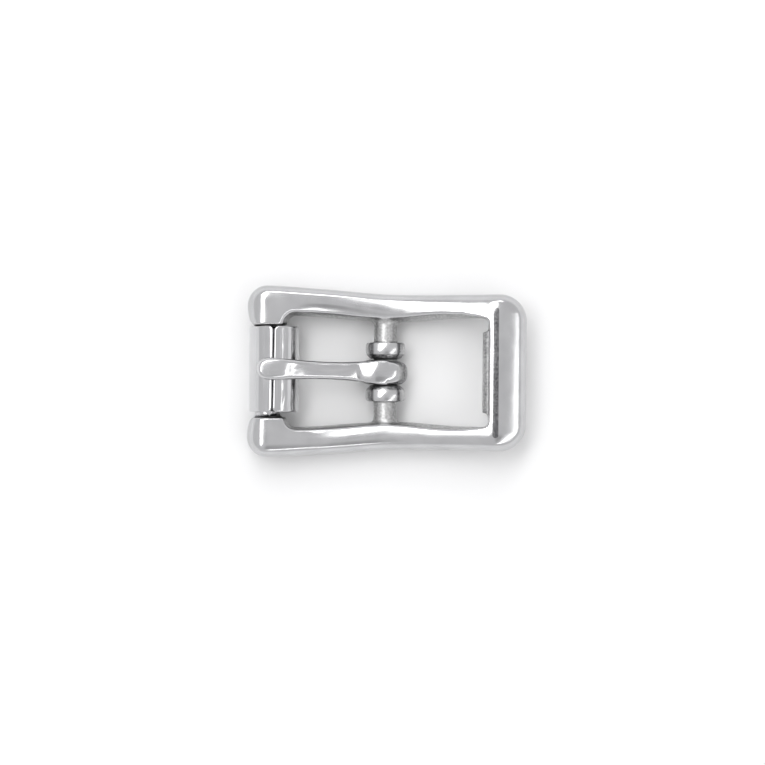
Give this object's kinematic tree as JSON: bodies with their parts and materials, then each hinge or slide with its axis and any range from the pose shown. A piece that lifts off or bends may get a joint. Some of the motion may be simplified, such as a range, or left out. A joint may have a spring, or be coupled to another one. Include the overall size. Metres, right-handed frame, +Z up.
{
  "type": "belt buckle",
  "caption": "Roller whole buckle for a 16 mm strap: a cast frame with a keeper end, a swinging tongue on its centre bar and a loose sheet roller.",
  "frame": {"origin": "middle of the centre bar, on its axis", "axes": "+X towards the keeper end, +Y along the centre bar, +Z up out of the buckle's face"},
  "size_m": [0.0513, 0.0314, 0.0114],
  "materials": {
    "cast_steel": "polished cast stainless steel, dull as cast on the centre bar",
    "tongue_steel": "polished cast stainless steel, rough as cast on the hook's end",
    "sheet_steel": "polished rolled stainless sheet"
  },
  "bodies": {
    "frame": {"frame": "cast_steel"},
    "tongue": {"tongue": "tongue_steel"},
    "roller": {"roller": "sheet_steel"}
  },
  "joints": [
    {"name": "tongue_swing", "type": "hinge", "parent": "frame", "child": "tongue", "pos_m": [0, 0, 0], "axis": [0, 1, 0], "range_deg": [0, 138]},
    {"name": "roller_spin", "type": "hinge", "parent": "frame", "child": "roller", "pos_m": [-0.02053, 0.0004, 0.00082], "axis": [0, 1, 0], "continuous": true}
  ]
}
